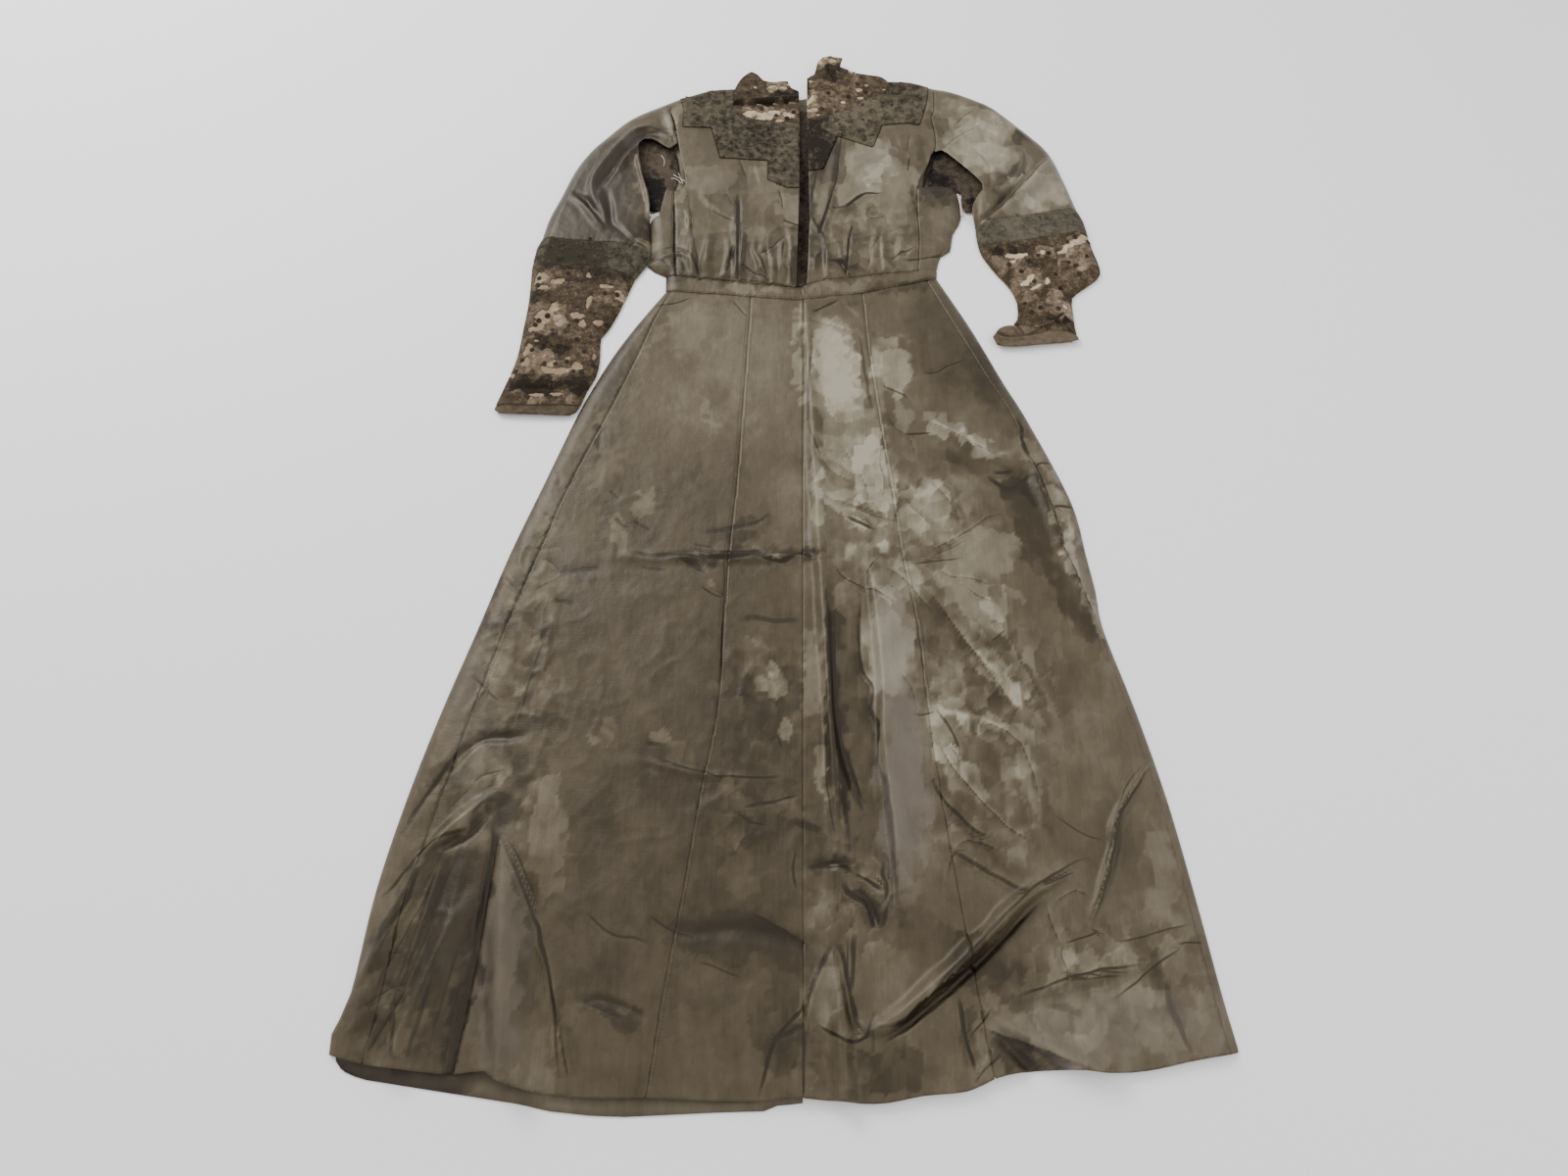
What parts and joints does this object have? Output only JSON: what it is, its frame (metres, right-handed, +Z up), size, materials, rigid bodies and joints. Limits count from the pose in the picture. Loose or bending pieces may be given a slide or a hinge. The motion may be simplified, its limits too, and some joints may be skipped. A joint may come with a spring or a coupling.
{
  "type": "mourning dress",
  "caption": "Long dark silk mourning dress laid flat, with a fitted waistband, gored skirt, crepe yoke, puffed sleeves and lace collar and cuffs",
  "frame": {"origin": "centre of the bounding box at the surface the dress lies on", "axes": "+Y along the dress from hem to collar, +X towards the right as seen, +Z up through the thickness"},
  "size_m": [0.8886, 1.4726, 0.0261],
  "materials": {
    "silk": "crisp silk taffeta, olive brown grey, soft uneven sheen",
    "crepe": "matt crinkled crepe with raised braid",
    "braid": "greenish grey band with raised cord scrolls",
    "lining": "cream cotton, matt, yellowed",
    "lace": "dark brown cotton lace, matt",
    "dark_lining": "dark matt lining"
  },
  "bodies": {
    "root": {"skirt_side_left": "silk", "skirt_gore_left": "silk", "skirt_front_left": "silk", "skirt_front_right": "silk", "skirt_gore_right": "silk", "skirt_side_right": "silk", "skirt_back_left": "silk", "skirt_back_right": "silk", "waistband_left": "silk", "waistband_right": "silk", "waistband_back": "silk", "bodice_front_left": "silk", "bodice_front_right": "silk", "bodice_side_left": "silk", "bodice_side_right": "silk", "bodice_back": "silk", "sleeve_top_left": "silk", "sleeve_top_right": "silk", "sleeve_under_left": "silk", "sleeve_under_right": "silk", "yoke_left": "crepe", "yoke_right": "crepe", "sleeve_band_left": "braid", "sleeve_band_right": "braid", "neck_lining_left": "lining", "neck_lining_right": "lining", "collar_lining_left": "lining", "collar_lining_right": "lining", "cuff_lining_left": "lining", "cuff_lining_right": "lining", "cuff_under_left": "lining", "cuff_under_right": "lining", "neck_lace_left": "lace", "neck_lace_right": "lace", "collar_lace_left": "lace", "collar_lace_right": "lace", "cuff_lace_left": "lace", "cuff_lace_right": "lace", "wrist_band_left": "lace", "wrist_band_right": "lace", "placket_under": "dark_lining", "armhole_lining_left": "dark_lining", "armhole_lining_right": "dark_lining"}
  },
  "joints": []
}
